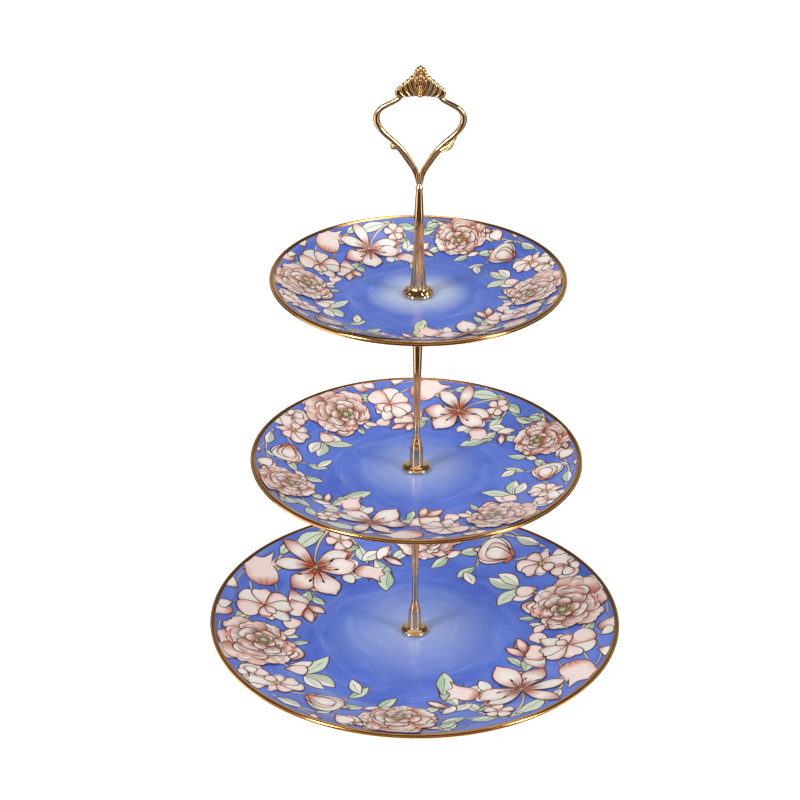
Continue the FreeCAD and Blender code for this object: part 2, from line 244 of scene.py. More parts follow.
def glaze_material(plate):
    """Cornflower glaze, clouded in soft arcs round the plate, that pales towards its middle."""
    shader = Shader(f"{plate.tier}_glaze", Roughness=0.27, Coat_Weight=0.1, Coat_Roughness=0.05)
    place = shader.place()
    apart = shader.add("SeparateXYZ", {"Vector": place}).outputs
    flat = shader.add("CombineXYZ", {"X": apart["X"], "Y": apart["Y"]}).outputs["Vector"]
    radius = shader.add("VectorMath", {0: flat}, operation="LENGTH").outputs["Value"]
    share = shader.maths("DIVIDE", radius, plate.radius * MM)
    around = shader.add("VectorMath", {0: flat}, operation="NORMALIZE").outputs["Vector"]
    direction = shader.add("SeparateXYZ", {"Vector": around}).outputs
    stroke_inputs = {"X": direction["X"], "Y": direction["Y"], "Z": shader.maths("MULTIPLY", share, 9.0)}
    strokes = shader.noise(shader.add("CombineXYZ", stroke_inputs).outputs["Vector"], 1.5, 4.0, 0.55, 0.45)
    clouds = shader.noise(flat, 26.0, 4.0, 0.55, 0.4)
    fine = shader.noise(flat, 160.0, 3.0, 0.5, 0.3)
    blue = shader.blend(shader.scale_range(clouds, 0.32, 0.7), GLAZE_DEEP, GLAZE_BLUE)
    blue = shader.blend(shader.scale_range(strokes, 0.5, 0.8, 0.0, 0.42), blue, GLAZE_PALE)
    uneven = shader.maths("ADD", share, shader.scale_range(clouds, 0.2, 0.8, -0.07, 0.07))
    near, far, strength = GLOW[plate.tier]
    glow = shader.scale_range(uneven, near, far, strength, 0.0)
    blue = shader.blend(glow, blue, GLAZE_GLOW)
    blue = shader.blend(shader.scale_range(fine, 0.3, 0.75, 0.0, 0.05), blue, GLAZE_PALE)
    shader.drive(Base_Color=blue)
    shader.bump(shader.noise(place, 70.0, 2.0), 0.05, 0.0006)
    return shader.material


def china_material():
    """White bone china under a clear glaze, with faint warm clouding, for the undersides."""
    shader = Shader("bone_china", Roughness=0.16, Coat_Weight=0.4, Coat_Roughness=0.05)
    place = shader.place()
    clouds = shader.noise(place, 34.0, 4.0)
    warmth = shader.scale_range(clouds, 0.3, 0.7)
    hue = shader.blend(warmth, srgb(240, 238, 231), srgb(247, 246, 243))
    specks = shader.scale_range(shader.noise(place, 900.0, 1.0), 0.74, 0.8, 0.0, 0.25)
    shader.drive(Base_Color=shader.blend(specks, hue, srgb(206, 196, 178)))
    shader.bump(clouds, 0.06, 0.0006)
    return shader.material


def biscuit_material():
    """The foot ring's worn, unglazed edge."""
    shader = Shader("bisque", Roughness=0.7)
    grain = shader.noise(shader.place(), 1500.0, 2.0)
    shader.drive(Base_Color=shader.blend(grain, srgb(216, 208, 194), srgb(236, 230, 220)))
    shader.bump(grain, 0.3, 0.0001)
    return shader.material


def enamel_material(name, grain_share):
    """Painted enamel: the paint colours, mottled like hand-laid pigment, under the plate's gloss."""
    shader = Shader(name, Roughness=0.16, Coat_Weight=0.3, Coat_Roughness=0.05)
    place = shader.place()
    paint = shader.add("VertexColor", layer_name="paint").outputs["Color"]
    mottle = shader.noise(place, 420.0, 3.0, 0.6)
    patches = shader.scale_range(mottle, 0.35, 0.72, 0.0, grain_share)
    shader.drive(Base_Color=shader.blend(patches, paint, GRAIN_TINT, "MULTIPLY"))
    shader.drive(Roughness=shader.scale_range(mottle, 0.3, 0.7, 0.12, 0.22))
    return shader.material


def ink_material():
    """Fired outline colour: brown, thin enough in places to warm towards gold."""
    shader = Shader("ink", Roughness=0.3)
    wear = shader.noise(shader.place(), 150.0, 3.0, 0.6)
    warmth = shader.scale_range(wear, 0.35, 0.68)
    shader.drive(Base_Color=shader.blend(warmth, INK_DARK, INK_WARM))
    shader.drive(Roughness=shader.scale_range(wear, 0.3, 0.7, 0.24, 0.4))
    return shader.material


def metal_material(name, bright, deep, roughness, scale):
    """Plated metal with faint polishing clouds and hairline bump."""
    shader = Shader(name, Metallic=1.0)
    place = shader.place()
    clouds = shader.noise(place, scale, 4.0, 0.6)
    fine = shader.noise(place, scale * 14, 2.0)
    shader.drive(Base_Color=shader.blend(shader.scale_range(clouds, 0.3, 0.72), bright, deep))
    shader.drive(Roughness=shader.scale_range(clouds, 0.3, 0.7, roughness * 0.8, roughness * 1.3))
    shader.bump(fine, 0.04, 0.00004)
    return shader.material


def silicone_material():
    """Milky silicone with a dusty surface."""
    shader = Shader("milky_silicone", Roughness=0.5, Subsurface_Weight=0.2, Subsurface_Scale=0.002)
    dust = shader.noise(shader.place(), 800.0, 3.0)
    shader.drive(Base_Color=shader.blend(dust, srgb(214, 218, 216), srgb(236, 238, 236)))
    shader.drive(Roughness=shader.scale_range(dust, 0.3, 0.7, 0.42, 0.6))
    return shader.material


def floor_material():
    """A pale matt table."""
    shader = Shader("pale_table", Roughness=0.75, Emission_Color=(1, 1, 1, 1), Emission_Strength=0.42)
    haze = shader.noise(shader.place(), 3.0, 2.0)
    shader.drive(Base_Color=shader.blend(haze, srgb(247, 247, 247), srgb(250, 250, 250)))
    return shader.material


GLAZE_BLUE, GLAZE_DEEP, GLAZE_PALE = srgb(96, 126, 217), srgb(70, 97, 196), srgb(152, 174, 230)
GLAZE_GLOW = srgb(190, 204, 230)
GLOW = {"bottom": (0.02, 0.42, 0.62), "middle": (0.04, 0.38, 0.62), "top": (0.17, 0.35, 0.85)}
INK_DARK, INK_WARM = srgb(62, 34, 20), srgb(120, 66, 32)
GRAIN_TINT = (0.62, 0.55, 0.50)
GOLD = metal_material("polished_gold", srgb(243, 209, 160), srgb(220, 172, 112), 0.09, 60.0)
GILT = metal_material("fired_gilt", srgb(236, 180, 110), srgb(208, 142, 76), 0.13, 45.0)
PLATED = metal_material("plated_steel", srgb(222, 190, 130), srgb(196, 158, 96), 0.26, 90.0)
CHINA, BISCUIT = china_material(), biscuit_material()
PAINTS = {"blossom": enamel_material("blossom", 0.16), "foliage": enamel_material("foliage", 0.22),
          "ink": ink_material()}
SILICONE = silicone_material()


# ---- plates ----

class Plate:
    """One plate's section, in millimetres: a flat well, a tangent bend, a straight rim and a round lip."""

    def __init__(self, tier):
        low, high = span(f"{tier}_plate")
        self.tier = tier
        self.foot, self.rim, self.radius = low.z, high.z, high.x
        self.face = span(f"{tier}_plate_upper_gasket")[0].z
        self.under = span(f"{tier}_plate_lower_gasket")[1].z
        self.well, self.bend = self.radius * WELL_SHARE, self.radius * BEND_SHARE
        run = self.radius - LIP_ROUND - self.well
        drop = self.rim - LIP_ROUND - self.face - self.bend
        self.slope = math.atan2(drop, run) + math.asin((self.bend + LIP_ROUND) / math.hypot(run, drop))

    def height(self, radius):
        """The height of the glazed face at a radius."""
        out, turn = radius - self.well, self.bend * math.sin(self.slope)
        if out <= 0:
            return self.face
        if out < turn:
            return self.face + self.bend - math.sqrt(self.bend ** 2 - out ** 2)
        return self.face + self.bend * (1 - math.cos(self.slope)) + (out - turn) * math.tan(self.slope)

    def lip(self, start, end, proud, count):
        """Points round the lip, from an angle to another, in degrees from straight out."""
        return arc_points(self.radius - LIP_ROUND, self.rim - LIP_ROUND, LIP_ROUND + proud, start, end, count)

    def face_points(self, start, end, count, proud=0.0):
        """The glazed face, from one radius to another."""
        radii = [start + (end - start) * step / (count - 1) for step in range(count)]
        return [(radius, self.height(radius) + proud) for radius in radii]

    def under_points(self, start, end, count, proud=0.0):
        """The underside, whose wall thins from the well's to the lip's."""
        thick, thin = self.face - self.under, 2 * LIP_ROUND
        points = []
        for step in range(count):
            radius = start + (end - start) * step / (count - 1)
            share = max(0.0, (radius - self.well) / (self.radius - self.well))
            wall = (thick + (thin - thick) * share) / math.cos(self.slope * min(1.0, 2 * share))
            points.append((radius, self.height(radius) - wall - proud))
        return points

    def foot_points(self):
        """The foot ring, with soft corners, from its inner side to its outer side."""
        middle = self.radius * FOOT_SHARE
        height = self.under - self.foot
        side = ((2.9, 1.0), (2.3, 0.93), (1.9, 0.75), (1.55, 0.3), (1.25, 0.08), (0.8, 0.0))
        return ([(middle - out, self.foot + height * up) for out, up in side]
                + [(middle + out, self.foot + height * up) for out, up in reversed(side)])


def build_plate(plate):
    """The china body in three finishes, and the gilt band that wraps its lip."""
    tilt = math.degrees(plate.slope)
    inside = plate.radius - LIP_ROUND * (1 + math.sin(plate.slope))
    foot = plate.foot_points()
    face = plate.face_points(inside - 0.2, HOLE_RADIUS + 0.3, 90)
    rounding, segments = 0.3, 240
    outline = ([(HOLE_RADIUS, plate.face - rounding), (HOLE_RADIUS, plate.under + rounding)]
               + plate.under_points(HOLE_RADIUS + rounding, foot[0][0] - 1, 12) + foot
               + plate.under_points(foot[-1][0] + 1, inside + 0.6, 40)
               + plate.lip(tilt - 85, tilt + 90, 0.0, 16) + face)
    points, faces = lathe(outline, segments)
    piece = make_piece(f"{plate.tier}_china", points, faces, CHINA)
    piece.data.materials.append(glaze_material(plate))
    piece.data.materials.append(BISCUIT)
    glaze_start = len(outline) - len(face) - 4
    worn = plate.foot + 0.2
    for polygon in piece.data.polygons:
        index = polygon.index % len(outline)
        following = (index + 1) % len(outline)
        if index >= glaze_start:
            polygon.material_index = 1
        elif max(outline[index][1], outline[following][1]) < worn:
            polygon.material_index = 2
    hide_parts(f"{plate.tier}_plate")
    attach(piece, body_of(f"{plate.tier}_plate"))

    shell = (plate.under_points(inside - BAND_UNDER, inside, 4, BAND_PROUD)
             + plate.lip(tilt - 85, tilt + 90, BAND_PROUD, 16)
             + plate.face_points(inside - 0.3, plate.radius - BAND_TOP, 6, BAND_PROUD))
    core = (plate.face_points(plate.radius - BAND_TOP, inside - 0.3, 4, -BAND_SUNK)
            + plate.lip(tilt + 90, tilt - 85, -BAND_SUNK, 10)
            + plate.under_points(inside, inside - BAND_UNDER, 3, -BAND_SUNK))
    band = make_piece(f"{plate.tier}_gilt_band", *lathe(shell + core, segments), GILT)
    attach(band, body_of(f"{plate.tier}_plate"))


def body_of(node):
    """The CAD body that a node belongs to."""
    return next(body for body, members in frame["record"]["behaviour"]["bodies"].items() if node in members)


# ---- painted flowers ----
#
# The painting is drawn once, in hundredths of a plate's radius, for half of a plate. Each plate has it
# twice, half a turn apart. A motif is placed by its share of the radius and its angle.

# Half outlines of petals and leaves, from the base to the tip, as shares of their length
ROUND = ((0, .05), (.18, .17), (.45, .36), (.75, .43), (.95, .28), (1, 0))
NOTCHED = ((0, .05), (.2, .19), (.5, .39), (.8, .45), (.99, .27), (.92, 0))
RUFFLED = ((0, .06), (.2, .22), (.46, .42), (.64, .5), (.8, .42), (.9, .4), (1.01, .2), (.96, .08), (1, 0))
POINTED = ((0, .05), (.25, .17), (.52, .26), (.78, .19), (.93, .07), (1, 0))
SPREAD = ((0, .06), (.2, .13), (.45, .26), (.68, .3), (.86, .2), (.96, .08), (1.05, 0))
CUPPED = ((0, .22), (.2, .4), (.5, .5), (.8, .42), (1, .22), (1.03, 0))
BELL = ((0, .12), (.15, .3), (.4, .36), (.7, .33), (.9, .44), (1.02, .52), (.9, .24), (.97, .1), (1.08, 0))
LEAF = ((0, .03), (.2, .14), (.45, .23), (.7, .18), (.9, .07), (1, 0))
SLIVER = ((0, .04), (.3, .12), (.6, .13), (.85, .07), (1, 0))

# Line widths and the painting's mesh size, in hundredths of the radius
INK_LINE, FINE_LINE = 0.56, 0.30
GRID = 1.25

# How much of a petal's root colour shows at its root
ROOT_SHARE = 0.95


def at(radius, angle):
    """A place on the plate, from its radius and its angle in degrees."""
    return cmath.rect(radius, math.radians(angle))


class Painting:
    """Shapes drawn in the plate's plan, each at a level above the ones under it."""

    def __init__(self):
        self.layers = {name: {"spots": [], "levels": [], "faces": [], "paint": []}
                       for name in ("blossom", "foliage", "ink")}

    def lay(self, name, spots, faces, paint, level):
        """Adds a shape to one of the three layers."""
        layer = self.layers[name]
        start = len(layer["spots"])
        layer["spots"] += spots
        layer["levels"] += [level] * len(spots)
        layer["paint"] += paint
        layer["faces"] += [tuple(start + index for index in face) for face in faces]

    def ribbon(self, name, line, widths, paint, level, closed=False):
        """A band that follows a line of plan points."""
        count = len(line)
        spots, hues = [], []
        for index, spot in enumerate(line):
            before = line[index - 1] if index or closed else spot
            after = line[(index + 1) % count] if index < count - 1 or closed else spot
            along = after - before
            across = 1j * along / (abs(along) or 1)
            spots += [spot + across * widths[index] / 2, spot - across * widths[index] / 2]
            hues += [paint[index], paint[index]] if paint else [INK_DARK, INK_DARK]
        faces = []
        for index in range(count if closed else count - 1):
            here, there = 2 * index, 2 * (index + 1) % (2 * count)
            faces.append((here, here + 1, there + 1, there))
        self.lay(name, spots, faces, hues, level)

    def line(self, spots, width, level, closed=False):
        """An ink line whose width swells and thins like a brush stroke."""
        phase = dice.random() * TAU
        widths = [width * (1 + 0.28 * math.sin(phase + 0.55 * index)) for index in range(len(spots))]
        self.ribbon("ink", spots, widths, None, level + 0.4, closed)

    def petal(self, base, heading, length, shape, tone, level, bend=0.0, width=1.0, name="blossom"):
        """An outlined petal or leaf from its base. tone(along, across) gives its colour. Returns the function
        that places a point of the petal on the plate."""
        knots = [(x, y * width) for x, y in shape]
        lean = {1: dice.uniform(0.82, 1.14), -1: dice.uniform(0.82, 1.14)}
        per_span = max(2, round(length / GRID / (len(knots) - 1)))
        side = curve_through(knots, per_span)
        widest = max(y for _, y in side) * length
        halves = max(2, round(widest / GRID))
        rows = len(side) - 1
        turn = cmath.rect(length, math.radians(heading))

        def bent(x, y):
            if abs(bend) < 1e-3:
                return base + turn * complex(x, y)
            curl = cmath.exp(1j * bend * x)
            return base + turn * ((curl - 1) / (1j * bend) + 1j * y * curl)

        spots, paint = [], []
        for row in range(rows):
            along = row / rows
            for column in range(-halves, halves + 1):
                across = column / halves
                x = knots[-1][0] * along * (1 - abs(across)) + side[row][0] * abs(across)
                spots.append(bent(x, side[row][1] * across * lean[1 if across > 0 else -1]))
                paint.append(tone(x, across))
        spots.append(bent(knots[-1][0], 0))
        paint.append(tone(1.0, 0.0))
        wide = 2 * halves + 1
        faces = [(row * wide + c, (row + 1) * wide + c, (row + 1) * wide + c + 1, row * wide + c + 1)
                 for row in range(rows - 1) for c in range(wide - 1)]
        faces += [((rows - 1) * wide + c, rows * wide, (rows - 1) * wide + c + 1) for c in range(wide - 1)]
        self.lay(name, spots, faces, paint, level)
        outline = [spots[row * wide + wide - 1] for row in range(rows)] + [spots[-1]]
        outline += [spots[row * wide] for row in reversed(range(rows))]
        self.line(outline, INK_LINE, level, closed=True)
        return bent

    def dot(self, spot, radius, hue, level, sides=8):
        """A small round touch of paint, darker at its edge."""
        ring = [spot + cmath.rect(radius, TAU * k / sides) for k in range(sides)]
        faces = [(sides, k, (k + 1) % sides) for k in range(sides)]
        self.lay("blossom", ring + [spot], faces, [mix(hue, UMBER, 0.35)] * sides + [hue], level)


def petal_tone(light, edge, root, side=0.0, root_reach=0.3, root_fall=None, edge_share=0.9,
               tip_from=0.85, tip_share=0.35):
    """A petal's colours: light in the middle, an edge colour to one side or both and at the tip, and a root
    colour that falls away over root_fall and is gone at root_reach."""
    grain = dice.random() * 9
    fall = root_fall or root_reach

    def tone(along, across):
        streak = 0.16 * math.sin(across * 12 + grain) * (1 - along)
        off = abs(across) if not side else max(0.0, across * side)
        hue = mix(light, edge, (max(0.0, off - 0.3) / 0.7) ** 1.7 * edge_share + 0.5 * streak)
        hue = mix(hue, edge, max(0.0, along - tip_from) / (1 - tip_from) * tip_share)
        uneven = 0.05 * math.sin(across * 8 + grain) if root_fall else 0.0
        fade = min(1.0, max(0.0, (root_reach - along + uneven) / fall))
        return mix(hue, root, fade ** 0.75 * ROOT_SHARE + 1.5 * streak * fade)
    return tone


def leaf_tone(light, deep):
    """A leaf's colours: one half deep and the other light, either side of the midrib."""
    def tone(along, across):
        return mix(light, deep, 0.5 + 0.5 * math.tanh(across * 5) * 0.8 - 0.25 * along)
    return tone


def choose(*hues):
    """One of several, at random."""
    return hues[dice.randrange(len(hues))]


def rolled_edge(painting, bent, shape, level, wide=1.9):
    """A petal's tip turned over: a crescent along the end of its outline."""
    tip, reach = shape[-1][0], shape[-3][1] * 0.9
    shares = [step / 6 - 1 for step in range(13)]
    line = [bent(tip * (0.99 - 0.16 * share ** 2), reach * share) for share in shares]
    widths = [wide * (1 - abs(share) ** 1.5) + 0.1 for share in shares]
    turned, shade = choose((SHELL, SALMON), (BLUSH, BRICK), (CREAM, BLUSH), (SALMON, RUST))
    hues = [mix(turned, shade, abs(share)) for share in shares]
    painting.ribbon("blossom", line, widths, hues, level + 0.45)
    painting.line([spot + (bent(0, 0) - spot) * 0.055 for spot in line], FINE_LINE, level + 0.5)


def fan_petals(painting, centre, count, length, shape, level, start, tilt, width, rolled, **tone_words):
    """A ring of petals. tilt is (heading, share): petals on that side grow by the share. rolled is the chance
    that a petal's tip turns over."""
    inner = 0.08
    for index in range(count):
        heading = start + 360 * index / count + dice.uniform(-7, 7)
        stretch = 1 + tilt[1] * math.cos(math.radians(heading - tilt[0]))
        reach = length * stretch * dice.uniform(0.9, 1.08)
        tone = petal_tone(choose(CREAM, PEARL, SHELL), choose(BLUSH, SALMON), **tone_words,
                          side=choose(-1.0, 1.0, 0.0))
        base = centre + cmath.rect(reach * inner, math.radians(heading))
        bent = painting.petal(base, heading, reach * (1 - inner), shape, tone, level + index,
                              bend=dice.uniform(-0.3, 0.3), width=width * dice.uniform(0.88, 1.1))
        if dice.random() < rolled:
            rolled_edge(painting, bent, shape, level + index)
    return level + count


def peony(painting, centre, heading, size, level):
    """A full double flower seen a little from one side: guard petals, two inner whorls, a cup and a heart."""
    outer = {"root": BRICK, "root_reach": 0.86, "root_fall": 0.36, "edge_share": 0.4}
    inner = {"root": RUST, "root_reach": 0.84, "root_fall": 0.42, "edge_share": 0.45}
    middle = centre - cmath.rect(size * 0.07, math.radians(heading))
    rings = (
        # centre, petals, length, outline, turn, width, share rolled, colours
        (centre, 7, 1.0, RUFFLED, 180, 1.0, 0.5, outer),
        (middle, 6, 0.76, NOTCHED, 205, 1.0, 0.5, inner),
        (middle, 5, 0.55, ROUND, 225, 1.1, 0.6, inner),
        (middle, 5, 0.36, CUPPED, 35, 0.95, 0.0, inner),
    )
    for place, count, share, shape, way, width, rolled, root in rings:
        level = fan_petals(painting, place, count, size * share, shape, level, heading + way,
                           (heading, 0.24), width, rolled, **root)
    painting.dot(middle, size * 0.17, UMBER, level, sides=14)
    for index in range(22):
        turn = math.radians(index * 137.5)
        tip = middle + cmath.rect(size * (0.10 + 0.026 * math.sqrt(index)), turn)
        filament = [middle + (tip - middle) * 0.4, tip]
        painting.ribbon("blossom", filament, [0.16, 0.3], [BARK, GRAIN], level + 1)
        painting.dot(tip, size * 0.02, choose(GRAIN, STRAW, RUST), level + 2)
    painting.dot(middle, size * 0.085, MINT, level + 2, sides=12)
    for index in range(6):
        spot = middle + cmath.rect(size * 0.045, index * 1.05)
        painting.dot(spot, size * 0.022, choose(SAGE, HEART), level + 3)
    rim = [middle + cmath.rect(size * 0.087, index * TAU / 14) for index in range(14)]
    painting.line(rim, FINE_LINE, level + 2, True)


def lily(painting, centre, heading, size, level):
    """A trumpet flower with six recurved petals, brick-red throat streaks and long anthers."""
    for index in (3, 2, 4, 1, 5, 0):
        way = heading + 60 * index + (8 if index % 2 else -6)
        long = size * (1.08 if index % 3 == 0 else 0.96)
        if index in (3, 5):
            edge, tip_from, tip_share = BRICK, 0.62, 0.95
        else:
            edge, tip_from, tip_share = choose(SHELL, BLUSH), 0.8, 0.5
        tone = petal_tone(choose(CREAM, PEARL), edge, BRICK, root_reach=0.5, edge_share=0.55,
                          tip_from=tip_from, tip_share=tip_share)
        broad = (1.1, 0.92, 0.7, 0.66, 0.74, 1.0)[index]
        bend = (0.1, 0.4, -0.5, 0.3, 0.5, -0.35)[index]
        bent = painting.petal(centre, way, long, SPREAD, tone, level, bend=bend, width=broad)
        for side in (-0.09, -0.045, 0.0, 0.045, 0.09):
            reach = 0.52 - 2.2 * abs(side) + dice.uniform(-0.03, 0.05)
            streak = [bent(0.04 + reach * k / 5, side * k / 5 * 1.4) for k in range(6)]
            widths = [0.95 * (1 - k / 5) + 0.06 for k in range(6)]
            painting.ribbon("blossom", streak, widths, [choose(BRICK, RUST)] * 6, level + 0.3)
        if index in (1, 2, 4):
            rolled_edge(painting, bent, SPREAD, level, 1.5)
        level += 1
    for index in range(6):
        way = math.radians(heading - 44 + 22 * index)
        filament = [centre + cmath.rect(size * 0.12 * k, way + 0.06 * k * (index - 2.5)) for k in range(5)]
        painting.line(filament, FINE_LINE * 1.9, level)
        along = filament[-1] - filament[-2]
        anther = [filament[-1] + along * (share - 0.5) for share in (0, 0.35, 0.7, 1.05)]
        hues = [UMBER, INK_DARK, INK_DARK, UMBER]
        painting.ribbon("blossom", anther, [0.5, 1.3, 1.2, 0.4], hues, level + 1)
    painting.dot(centre, size * 0.045, HEART, level + 1)


def open_flower(painting, centre, heading, size, level, petals, heart=True):
    """A flower whose petals are each given by heading, length, outline, width and root colour."""
    for way, share, shape, wide, root in petals:
        tone = petal_tone(choose(CREAM, PEARL, SHELL), choose(BLUSH, SALMON), root, choose(-1.0, 1.0), 0.4)
        lean = way % 7 * 0.1 - 0.3
        bent = painting.petal(centre, heading + way, size * share, shape, tone, level, lean, wide)
        if root == RUST:
            rolled_edge(painting, bent, shape, level, 1.2)
        level += 1
    if heart:
        painting.dot(centre, size * 0.1, HEART, level + 1)
        for index in range(5):
            painting.dot(centre + cmath.rect(size * 0.13, index * 1.26), size * 0.04, RUST, level + 2)


def magnolia(painting, centre, heading, size, level):
    """A loose cup of broad petals over a few folded ones."""
    petals = ((-75, 0.8, POINTED, 1.3, SALMON), (-40, 1.05, POINTED, 1.15, SALMON),
              (150, 0.95, ROUND, 0.95, BRICK), (205, 1.0, ROUND, 0.9, SALMON),
              (95, 0.85, NOTCHED, 1.0, BLUSH), (40, 0.95, ROUND, 0.85, SALMON),
              (5, 0.9, NOTCHED, 0.75, BLUSH), (262, 0.62, ROUND, 0.9, RUST), (310, 0.5, POINTED, 1.3, BRICK))
    open_flower(painting, centre, heading, size, level, petals, False)


def orchid(painting, centre, heading, size, level):
    """Two broad wings and three small folded petals."""
    petals = ((65, 0.75, POINTED, 1.2, RUST), (0, 1.1, BELL, 0.85, SALMON), (110, 0.7, ROUND, 0.9, BRICK),
              (165, 0.95, ROUND, 0.8, SALMON), (205, 0.8, NOTCHED, 0.75, BRICK), (255, 0.6, ROUND, 0.9, RUST),
              (300, 0.55, ROUND, 1.0, BRICK))
    open_flower(painting, centre, heading, size, level, petals)


def blossom(painting, centre, heading, size, level):
    """A small open flower of five petals."""
    petals = tuple((72 * k, 0.95 + 0.1 * (k % 2), ROUND, 0.95, choose(BRICK, SALMON)) for k in range(5))
    open_flower(painting, centre, heading, size, level, petals)


def cup(painting, base, heading, size, level):
    """A half-open flower seen from the side: back petals, front petals and two small sepals."""
    petals = ((-24, 0.92, 0.8), (26, 0.95, 0.8), (0, 1.0, 0.9), (-11, 0.82, 0.75), (14, 0.78, 0.7))
    for way, share, wide in petals:
        tone = petal_tone(choose(CREAM, PEARL), choose(BLUSH, SALMON), BRICK, choose(-1.0, 1.0), 0.5)
        painting.petal(base, heading + way, size * share, ROUND, tone, level, bend=-way * 0.012, width=wide)
        level += 1
    for way in (-55, 60):
        tone = petal_tone(SALMON, BRICK, RUST)
        painting.petal(base, heading + way, size * 0.34, SLIVER, tone, level, bend=0.4, width=1.4)


def bud(painting, base, heading, size, level):
    """A closed bud: three narrow, rust-tipped petals."""
    for way, share in ((-17, 0.85), (17, 0.85), (0, 1.0)):
        tone = petal_tone(choose(CREAM, SHELL), BRICK, RUST, root_reach=0.5, edge_share=1.0, tip_share=0.9)
        painting.petal(base, heading + way, size * share, POINTED, tone, level, bend=-way * 0.02, width=0.8)
        level += 1


def loose(painting, base, heading, size, level, shape, bend):
    """One pale petal on its own, with a shaded side."""
    tone = petal_tone(choose(CREAM, PEARL, SHELL), choose(BLUSH, BLUSH, SALMON), BRICK,
                      choose(-1.0, 1.0), 0.3, edge_share=0.7)
    painting.petal(base, heading, size, shape, tone, level, bend=bend)


def leaf(painting, base, heading, size, level, bend):
    """A two-tone leaf with an ink midrib."""
    tone = leaf_tone(choose(MINT, CREAM, MINT), choose(SAGE, SAGE, MINT))
    bent = painting.petal(base, heading, size, LEAF, tone, level, bend, name="foliage")
    painting.line([bent(0.12 * k, 0) for k in range(7)], FINE_LINE, level)


def stem(painting, knots, thick, level):
    """A stem with inked sides, through (radius, angle) knots, that thins along its length and has pointed
    ends."""
    path = curve_through([(spot.real, spot.imag) for spot in (at(*knot) for knot in knots)], 8)
    line = [complex(*point) for point in path]
    count, last = len(line), len(line) - 1
    widths = [thick * (1 - 0.6 * index / count) * min(1.0, 0.12 + 0.3 * min(index, last - index))
              for index in range(count)]
    hues = [mix(STRAW, BARK, index / count) for index in range(count)]
    painting.ribbon("foliage", line, widths, hues, level)
    for side in (-1, 1):
        edge = []
        for index, spot in enumerate(line):
            along = line[min(index + 1, last)] - line[max(index - 1, 0)]
            edge.append(spot + side * 1j * along / abs(along) * widths[index] / 2)
        painting.line(edge, FINE_LINE, level)


# Half of the design. Places are (share of the radius in hundredths, angle); headings are in the plan.
STEMS = (
    (((94, 118), (93, 130), (88, 143), (80, 152), (74, 158)), 1.9),
    (((94, 118), (88, 124), (80, 130), (73, 134)), 1.7),
    (((94, 118), (86, 114), (76, 112), (66, 108), (56, 104)), 1.5),
    (((66, 108), (60, 113), (50, 118)), 1.1),
    (((86, 114), (84, 106), (80, 99), (78, 92)), 1.4),
    (((94, 44), (93, 54), (90, 64), (86, 74), (82, 82)), 1.5),
    (((93, 52), (95, 60), (94, 68), (93, 76)), 0.9),
    (((78, 16), (72, 24), (68, 32), (64, 38)), 1.5),
    (((84, 36), (88, 30), (92, 24), (92, 18)), 1.3),
    (((78, 50), (84, 46), (88, 40), (86, 34)), 1.2),
    (((76, 168), (70, 160), (62, 158), (55, 160)), 1.2),
    (((90, 158), (84, 164), (78, 170)), 1.2),
    (((80, 174), (84, 182), (80, 190)), 1.4),
    (((86, 64), (77, 65), (68, 62), (61, 64), (58, 70)), 1.4),
    (((84, 106), (89, 101), (93, 95), (94, 88)), 1.3),
    (((76, 112), (71, 118), (65, 120)), 1.3),
    (((70, 146), (62, 148), (56, 144)), 1.3),
    (((94, 150), (95, 158), (93, 165), (89, 167)), 0.9),
    (((95, 2), (96, 9), (94, 16), (91, 20)), 0.9),
    (((94, 88), (96, 95), (95, 102), (92, 106)), 0.9),
)
LEAVES = (
    # place, heading, length, bend
    (66, 36, 222, 20, 0.35), (65, 37, 158, 18, -0.45), (66, 38, 112, 15, 0.7), (67, 108, -58, 20, -0.35),
    (56, 104, -98, 19, 0.2), (72, 104, -150, 13, 0.3), (79, 112, -75, 14, 0.3), (92, 121, 210, 21, 0.7),
    (60, 113, -128, 15, -0.4), (69, 122, -70, 12, 0.4), (94, 47, 155, 15, -0.3), (77, 62, 168, 14, 0.3),
    (92, 60, 190, 9, 0.5), (94, 68, 145, 8, -0.4), (84, 148, 60, 12, 0.4), (80, 24, -88, 14, 0.5),
    (72, 92, -150, 13, 0.4), (70, 76, -120, 14, -0.4), (89, 96, 150, 11, -0.4), (60, 150, -60, 11, 0.5),
    (88, 180, 60, 11, -0.3), (67, 182, -35, 12, 0.4), (92, 30, 190, 10, 0.4), (62, 12, -160, 10, -0.5),
    (66, 62, 215, 14, 0.4), (60, 65, -60, 13, -0.4), (83, 107, 20, 14, 0.4), (94, 155, 95, 8, 0.4),
    (95, 10, 130, 8, -0.4), (92, 97, 215, 12, 0.4), (87, 103, 70, 12, -0.5), (90, 140, 60, 11, 0.5),
    (77, 112, 190, 13, 0.5), (90, 116, 20, 14, -0.4), (70, 110, 10, 13, 0.4), (63, 147, 250, 14, 0.4),
)
